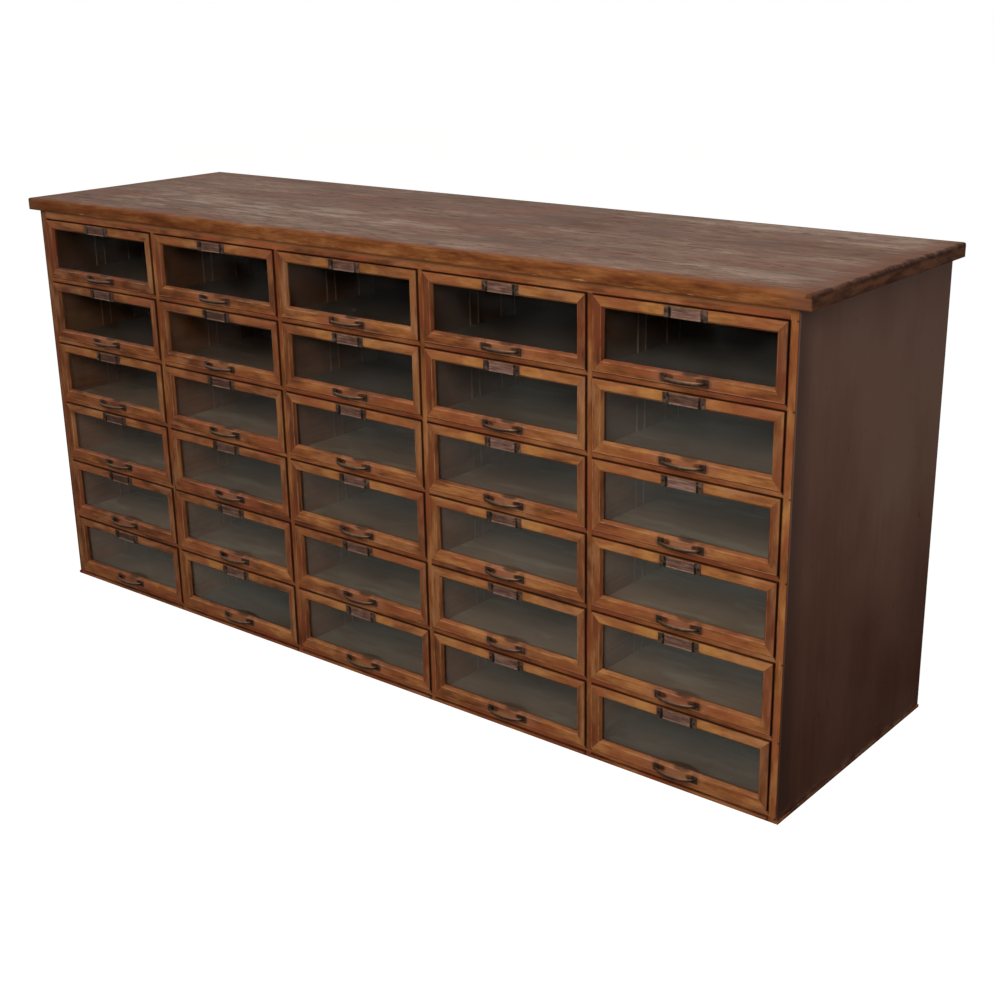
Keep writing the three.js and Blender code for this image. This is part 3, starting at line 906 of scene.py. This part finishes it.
def dress_node(name, finish, tone=0.0, arris=BOARD_ARRIS):
    """The CAD board again, with its edges eased."""
    mesh = bmesh.new()
    mesh.from_mesh(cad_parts[name].data)
    bmesh.ops.remove_doubles(mesh, verts=mesh.verts, dist=WELD_DISTANCE)
    bmesh.ops.dissolve_limit(mesh, angle_limit=FLAT_ANGLE, verts=mesh.verts, edges=mesh.edges)
    edges = [e for e in mesh.edges if len(e.link_faces) == 2 and e.calc_face_angle(0) > EDGE_ANGLE]
    shape = Shape()
    shape.take(*eased(mesh, edges, arris), tone=tone)
    settle(shape.piece(name + "_wood", finish), "carcass", [name])


def dress_carcass(finishes, chance):
    def tone():
        return chance.uniform(-BOARD_STRAY, BOARD_STRAY)

    for number in range(1, COLUMNS):
        dress_node(f"partition_{number}", finishes["upright"], tone(), UPRIGHT_ARRIS)
    for number in range(1, ROWS):
        dress_node(f"shelf_{number}", finishes["shelf"], tone(), SHELF_ARRIS)
    dress_node("top_rail", finishes["top_rail"], tone())
    for name in ("bottom_board", "base_strip_front", "base_strip_rear"):
        dress_node(name, finishes["shelf"], tone())
    for hand in ("left", "right"):
        dress_node(f"face_stile_{hand}", finishes[f"{hand}_stile"], tone())
        dress_node(f"side_panel_{hand}", finishes["side"])
        dress_node(f"base_strip_{hand}", finishes["side"])
    make_back(finishes, chance)


def make_back(finishes, chance):
    """The back, as upright boards with V joints, nailed along the top, the bottom and one shelf."""
    low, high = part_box("back_panel")
    rear = high.y - NAIL_ROOM
    width = (high.x - low.x) / BACK_BOARDS
    shelf_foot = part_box("shelf_3")[0].z
    heights = (low.z + NAILS_ON_FOOT, shelf_foot + NAILS_ON_SHELF, high.z - NAILS_UNDER_TOP)
    shape = Shape()
    for number in range(BACK_BOARDS):
        x0 = low.x + number * width
        tone = chance.uniform(*BACK_TONES)
        add_board(shape, (x0, low.y, low.z), (x0 + width, rear, high.z), BACK_JOINT, tone=tone)
        for height in heights:
            for share in (0.2, 0.8):
                place = Vector((x0 + share * width + chance.uniform(-1, 1) * NAIL_STRAY, rear, height))
                add_disc(shape, place, NAIL_RADIUS, NAIL_HEIGHT, 1, 12, outward=1)
    piece = shape.piece("back_boards", finishes["back"], finishes["bronze"])
    settle(piece, "carcass", ["back_panel"])


# Top


def add_corner(points, y, z, radius, start):
    """Points clockwise through a quarter turn about (y, z), from the start angle."""
    for step in range(ROUND_STEPS + 1):
        angle = math.radians(start - 90 * step / ROUND_STEPS)
        points.append((y + radius * math.cos(angle), z + radius * math.sin(angle)))


def top_profile(low, high, y0, y1, round_front, round_rear):
    """The outline of a top board across its length, from the lower front edge over the top."""
    points = []
    if round_front:
        add_corner(points, y0 + TOP_ARRIS, low + TOP_ARRIS, TOP_ARRIS, 270)
        add_corner(points, y0 + TOP_EDGE_RADIUS, high - TOP_EDGE_RADIUS, TOP_EDGE_RADIUS, 180)
    else:
        points.extend([(y0, low), (y0, high - TOP_JOINT), (y0 + TOP_JOINT, high)])
    start, end = points[-1][0], y1 - (TOP_ARRIS if round_rear else TOP_JOINT)
    points.extend((start + (end - start) * i / TOP_STRIPS, high) for i in range(1, TOP_STRIPS))
    if round_rear:
        add_corner(points, y1 - TOP_ARRIS, high - TOP_ARRIS, TOP_ARRIS, 90)
        add_corner(points, y1 - TOP_ARRIS, low + TOP_ARRIS, TOP_ARRIS, 0)
    else:
        points.extend([(y1 - TOP_JOINT, high), (y1, high - TOP_JOINT), (y1, low)])
    return points


def end_drop(distance, radius):
    """How far a rounded end has dropped at a distance from it."""
    return radius - math.sqrt(radius**2 - max(0, radius - distance) ** 2)


def top_stations(length):
    """Distances along a top board: close together on its rounded ends, and even between them."""
    radius = TOP_EDGE_RADIUS
    ends = [radius * (1 - math.cos(math.radians(90 * i / ROUND_STEPS))) for i in range(ROUND_STEPS)]
    middle = [radius + (length - 2 * radius) * i / TOP_STATIONS for i in range(TOP_STATIONS + 1)]
    return [*ends, *middle, *(length - e for e in reversed(ends))]


def make_top_board(name, finishes, chance, round_front=False, round_rear=False):
    (x0, y0, low), (x1, y1, high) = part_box(name)
    profile = top_profile(low, high, y0, y1, round_front, round_rear)
    stations = top_stations(x1 - x0)
    points = []
    for station in stations:
        distance = min(station, x1 - x0 - station)
        inset = end_drop(distance, TOP_EDGE_RADIUS)
        top, bottom = high - inset, low + end_drop(distance, TOP_ARRIS)
        front = y0 + inset if round_front else y0
        rear = y1 - inset if round_rear else y1
        ring = [(min(max(y, front), rear), min(max(z, bottom), top)) for y, z in profile]
        points.extend((x0 + station, y, z) for y, z in ring)
    shape = Shape()
    shape.take(points, prism_faces(len(profile), len(stations)), tone=chance.uniform(-1, 1))
    piece = shape.piece(name + "_wood", finishes["top"], sharp=TOP_SHARP_ANGLE)
    settle(piece, "carcass", [name])


def make_top(finishes, chance):
    make_top_board("top_board_front", finishes, chance, round_front=True)
    make_top_board("top_board_middle", finishes, chance)
    make_top_board("top_board_rear", finishes, chance, round_rear=True)


# Drawers

# How light the drawers' sides and bottoms are from the top row down, a painted light and shade that
# darkens the upper rows, and how far each one strays
WALL_TONES = (-0.3, 0.1, 0.7, 0.8, 0.8, 0.8)
WALL_STRAY = 0.2
BOTTOM_TONES = (-0.9, -0.45, 0.15, 0.1, 0.1, -0.2)
BOTTOM_STRAY = 0.25
BATTEN_TONE = 0.1
BOX_BACK_TONE = 0.5

# How far a front's tone strays, and its members' from it. The two left columns' rails are darker:
# painted shade for light that falls off to the left.
FRONT_STRAY = 0.5
MEMBER_STRAY = 0.6
DARK_RAILS_END = -0.2
DARK_RAIL_TONE = -1.1


class Drawer:
    """One drawer's places, all read from its CAD box. The CAD has one drawer split in parts."""

    def __init__(self, row, column):
        self.name = f"drawer_r{row}_c{column}"
        self.row = row
        self.split = self.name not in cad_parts
        self.body = self.name + "_assembly" if self.split else self.name
        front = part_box(self.name + "_front_frame") if self.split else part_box(self.name)
        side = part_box(self.name + "_side_left") if self.split else front
        self.x = (front[0].x + front[1].x) / 2
        self.half = (front[1].x - front[0].x) / 2
        self.inner = self.half - BOX_INSET - BOX_SIDE
        self.floor = side[0].z
        self.box_floor = self.floor + BOX_BOTTOM_RISE + BOX_BOTTOM
        self.back_y = side[1].y
        self.z0 = self.floor + FRONT_LIFT
        self.z1 = front[1].z

    def settle(self, piece, slot, *parts):
        """Lets a piece ride on the drawer, in place of these parts or of the joined drawer."""
        nodes = [f"{self.name}_{part}" for part in parts] if self.split else [self.name]
        settle(piece, self.body, nodes)


def member_profile(width, lit, shaded_outer):
    """The section of a frame's member: distance in from its outer edge, and depth behind its face.

    The third number is rubbing with painted highlight there, or painted shade where it is below 0, as on
    the front's sides. A lit member has a painted highlight on its inner arris, where the others have
    painted shade by the glass; a shaded one has painted shade on its outer arris, which on the others is
    light.
    """
    arris = FRONT_ARRIS
    bevel = width - BEVEL_WIDTH
    return [
        (0, FRONT_THICKNESS, -1),
        (0, arris, -0.9),
        (0.3 * arris, 0.3 * arris, -0.6 if shaded_outer else 0.9),
        (arris, 0, 0.2 if shaded_outer else 0.7),
        (2.4 * arris, 0, 0.3 if shaded_outer else 0),
        (bevel - 1.4 * MM, 0, 0),
        (bevel - 0.4 * MM, 0, 0.8 if lit else 0.6),
        (bevel, 0.2 * MM, 0.85 if lit else 0.7),
        (bevel + 0.5 * MM, 0.8 * MM, 0.25 if lit else 0),
        (width - 0.6 * MM, BEVEL_DEPTH - 0.8 * MM, 0 if lit else -0.3),
        (width, BEVEL_DEPTH, 0.4),
        (width, GLASS_SET_BACK, 0),
        (width - GLASS_LAP, GLASS_SET_BACK, 0),
        (width - GLASS_LAP, FRONT_THICKNESS, 0),
    ]


def add_member(shape, corners, inward, width, ends, slot, tone):
    """A mitred member between two corners. ends are the widths of the members it meets."""
    start, end = corners
    along = (end - start).normalized()
    # The bottom rail gets the painted highlight, and the top rail and the right stile painted shade on
    # their outer arris
    profile = member_profile(width, inward.z > 0, inward.z + inward.x < 0)
    rings = []
    for corner, neighbour, sign in ((start, ends[0], 1), (end, ends[1], -1)):
        slope = neighbour / width
        for t, depth, _ in profile:
            past = sign * (t * slope + MITRE_GAP)
            rings.append(corner + inward * t + along * past + Vector((0, depth, 0)))
    faces = prism_faces(len(profile), 2)
    if along.cross(Vector((0, 1, 0))).dot(inward) > 0:
        faces = turned_over(faces)
    shape.take(rings, faces, slot, tone, [wear_and_painted_light for _, _, wear_and_painted_light in profile] * 2)


def make_front(drawer, finishes, chance):
    left, right = drawer.x - drawer.half, drawer.x + drawer.half
    lower_left, lower_right = (Vector((x, FRONT_Y, drawer.z0)) for x in (left, right))
    upper_left, upper_right = (Vector((x, FRONT_Y, drawer.z1)) for x in (left, right))
    up, east = Vector((0, 0, 1)), Vector((1, 0, 0))
    stiles, rails = (STILE_WIDTH, STILE_WIDTH), (BOTTOM_RAIL_WIDTH, TOP_RAIL_WIDTH)
    members = [
        ((lower_left, lower_right), up, BOTTOM_RAIL_WIDTH, stiles, 0),
        ((upper_left, upper_right), -up, TOP_RAIL_WIDTH, stiles, 0),
        ((lower_left, upper_left), east, STILE_WIDTH, rails, 1),
        ((lower_right, upper_right), -east, STILE_WIDTH, rails, 1),
    ]
    base = chance.uniform(-FRONT_STRAY, FRONT_STRAY)
    # Painted shade: the two left columns' rails are darker
    shaded = DARK_RAIL_TONE if drawer.x < DARK_RAILS_END else 0
    shape = Shape()
    for corners, inward, width, ends, slot in members:
        tone = base + chance.uniform(-MEMBER_STRAY, MEMBER_STRAY) + (0 if slot else shaded)
        add_member(shape, corners, inward, width, ends, slot, tone)
    piece = shape.piece(drawer.name + "_front", finishes["rail"], finishes["stile"])
    drawer.settle(piece, "drawer_oak", "front_frame")


def make_box(drawer, finishes, chance):
    """The box's sides with their battens, and its back."""
    shape = Shape()
    top = drawer.floor + BOX_HEIGHT
    for hand in HANDS:
        face = drawer.x + hand * drawer.inner
        x0, x1 = sorted((face, face + hand * BOX_SIDE))
        tone = min(1, WALL_TONES[drawer.row - 1] + chance.uniform(-WALL_STRAY, WALL_STRAY))
        low, high = (x0, FRONT_BACK_Y, drawer.floor), (x1, drawer.back_y, top)
        add_board(shape, low, high, BOX_ARRIS, tone=tone)
        x0, x1 = sorted((face, face - hand * BATTEN_PROUD))
        for depth in BATTEN_DEPTHS:
            low = (x0, FACE_Y + depth - BATTEN_WIDTH / 2, drawer.box_floor)
            high = (x1, FACE_Y + depth + BATTEN_WIDTH / 2, top - BATTEN_BELOW_TOP)
            add_board(shape, low, high, BATTEN_ARRIS, 1, BATTEN_TONE)
    low = (drawer.x - drawer.inner, drawer.back_y - BOX_BACK, drawer.box_floor)
    high = (drawer.x + drawer.inner, drawer.back_y, top)
    add_board(shape, low, high, BOX_ARRIS, tone=BOX_BACK_TONE)
    piece = shape.piece(drawer.name + "_box", finishes["lining"], finishes["bottom"])
    drawer.settle(piece, "drawer_lining", "side_left", "side_right", "back")


def make_bottom(drawer, finishes, chance):
    shape = Shape()
    tone = BOTTOM_TONES[drawer.row - 1] + chance.uniform(-BOTTOM_STRAY, BOTTOM_STRAY)
    low = (drawer.x - drawer.inner, FRONT_BACK_Y, drawer.box_floor - BOX_BOTTOM)
    high = (drawer.x + drawer.inner, drawer.back_y - BOX_BACK, drawer.box_floor)
    add_board(shape, low, high, BOTTOM_ARRIS, tone=max(-1, tone))
    piece = shape.piece(drawer.name + "_bottom", finishes["bottom"])
    drawer.settle(piece, "drawer_lining", "bottom")


def make_glass(drawer, finishes):
    shape = Shape()
    lap = GLASS_LAP - GLASS_PLAY
    half = drawer.half - STILE_WIDTH + lap
    x0, x1 = drawer.x - half, drawer.x + half
    z0, z1 = drawer.z0 + BOTTOM_RAIL_WIDTH - lap, drawer.z1 - TOP_RAIL_WIDTH + lap
    y = FRONT_Y + GLASS_SET_BACK
    outline = [(x0, z0), (x1, z0), (x1, z1), (x0, z1)]
    points = [(x, depth, z) for depth in (y, y + GLASS_THICKNESS) for x, z in outline]
    shape.take(points, turned_over(prism_faces(len(outline), 2)))
    piece = shape.piece(drawer.name + "_pane", finishes["glass"])
    piece.data.shade_flat()
    piece.modifiers.clear()
    drawer.settle(piece, "pane_glass", "glass")


# How quickly the bow swells, and which way round from its front it is worn most and has a painted
# highlight
BOW_SWELL = 1.5
BOW_RUBBED_AND_LIT_ANGLE = math.radians(50)
FOOT_WEAR = 0.25


def add_bow(shape, x, z):
    """The bow: an oval bar bent in half an ellipse, thickest in the middle."""
    foot = (PULL_LENGTH - PULL_FOOT_WIDTH) / 2
    rise = PULL_PROJECTION - PULL_BAR_THICKNESS / 2
    points, wear_and_painted_light = [], []
    for step in range(BOW_STEPS + 1):
        turn = math.pi * (1 - step / BOW_STEPS)
        cos, sin = math.cos(turn), math.sin(turn)
        centre = Vector((x + foot * cos, FRONT_Y - rise * sin, z))
        outward = Vector((rise * cos, -foot * sin, 0)).normalized()
        height = PULL_END_HEIGHT + (PULL_MIDDLE_HEIGHT - PULL_END_HEIGHT) * sin**BOW_SWELL
        for side in range(BOW_SIDES):
            angle = 2 * math.pi * side / BOW_SIDES
            offset = outward * (PULL_BAR_THICKNESS / 2 * math.cos(angle))
            points.append(centre + offset + Vector((0, 0, height / 2 * math.sin(angle))))
            # Worn, and given a painted highlight, most on its upper front
            wear_and_painted_light.append(max(0.0, math.cos(angle - BOW_RUBBED_AND_LIT_ANGLE)) ** 2 * sin)
    shape.take(points, turned_over(prism_faces(BOW_SIDES, BOW_STEPS + 1)), wear_and_painted_light=wear_and_painted_light)


def make_pull(drawer, finishes):
    shape = Shape()
    z = drawer.z0 + BOTTOM_RAIL_WIDTH / 2
    foot_front = FRONT_Y - PULL_FOOT_THICKNESS
    half = Vector((PULL_FOOT_WIDTH / 2, 0, PULL_FOOT_HEIGHT / 2))
    add_bow(shape, drawer.x, z)
    for hand in HANDS:
        x = drawer.x + hand * (PULL_LENGTH - PULL_FOOT_WIDTH) / 2
        low, high = Vector((x, foot_front, z)) - half, Vector((x, FRONT_Y, z)) + half
        add_board(shape, low, high, PULL_FOOT_ARRIS, wear_and_painted_light=FOOT_WEAR)
        screw = Vector((x + hand * SCREW_OUTWARD, foot_front, z))
        add_disc(shape, screw, SCREW_RADIUS, SCREW_HEIGHT)
    piece = shape.piece(drawer.name + "_bow_pull", finishes["brass"])
    drawer.settle(piece, "aged_brass", "pull")


# How worn the bars round the card are, with a painted highlight on the lower bar: lower, upper, left and
# right
HOLDER_RUBBING_AND_LIGHT = (1.0, 0.75, 0.2, 0.25)


def make_holder(drawer, finishes):
    """The card holder: bars round a window, with a raised lip and a pin at each end."""
    shape = Shape()
    z = drawer.z1 - TOP_RAIL_WIDTH / 2
    half_x, half_z = HOLDER_LENGTH / 2, HOLDER_HEIGHT / 2
    window_x, window_z = WINDOW_LENGTH / 2, WINDOW_HEIGHT / 2
    front = FRONT_Y - HOLDER_THICKNESS + LIP_PROUD
    bars = [
        ((-window_x, -half_z), (window_x, -window_z)),
        ((-window_x, window_z), (window_x, half_z)),
        ((-half_x, -half_z), (-window_x, half_z)),
        ((window_x, -half_z), (half_x, half_z)),
    ]
    # The lower bar's painted highlight comes with its wear
    for ((x0, z0), (x1, z1)), wear_and_painted_light in zip(bars, HOLDER_RUBBING_AND_LIGHT):
        low, high = (drawer.x + x0, front, z + z0), (drawer.x + x1, FRONT_Y, z + z1)
        add_board(shape, low, high, HOLDER_ARRIS, wear_and_painted_light=wear_and_painted_light)
    for hand in HANDS:
        x0, x1 = sorted(drawer.x + hand * (window_x + past) for past in (-LIP_LAP, LIP_WIDTH))
        low, high = (x0, front - LIP_PROUD, z - half_z), (x1, FRONT_Y, z + half_z)
        add_board(shape, low, high, LIP_ARRIS)
        pin = Vector((drawer.x + hand * (half_x - PIN_FROM_END), front, z))
        add_disc(shape, pin, PIN_RADIUS, LIP_PROUD)
    piece = shape.piece(drawer.name + "_card_frame", finishes["bronze"])
    drawer.settle(piece, "dark_bronze", "card_holder")


def make_card(drawer, finishes):
    shape = Shape()
    z = drawer.z1 - TOP_RAIL_WIDTH / 2
    half_x, half_z = WINDOW_LENGTH / 2 + CARD_LAP, WINDOW_HEIGHT / 2 + CARD_LAP
    back = FRONT_Y - CARD_GAP
    low = (drawer.x - half_x, back - CARD_THICKNESS, z - half_z)
    high = (drawer.x + half_x, back, z + half_z)
    add_board(shape, low, high, CARD_ARRIS)
    piece = shape.piece(drawer.name + "_card", finishes["card"])
    drawer.settle(piece, "dark_bronze", "card_holder")


def make_drawer(drawer, finishes, chance):
    make_front(drawer, finishes, chance)
    make_box(drawer, finishes, chance)
    make_bottom(drawer, finishes, chance)
    make_glass(drawer, finishes)
    make_pull(drawer, finishes)
    make_holder(drawer, finishes)
    make_card(drawer, finishes)


# Assembly

bpy.context.scene.view_settings.view_transform = "Standard"
chance = random.Random(SEED)
add_camera()
add_world()
add_floor()
for lamp in LAMPS:
    add_lamp(*lamp)
finishes = make_finishes()
make_top(finishes, chance)
dress_carcass(finishes, chance)
for row in range(1, ROWS + 1):
    for column in range(1, COLUMNS + 1):
        make_drawer(Drawer(row, column), finishes, chance)
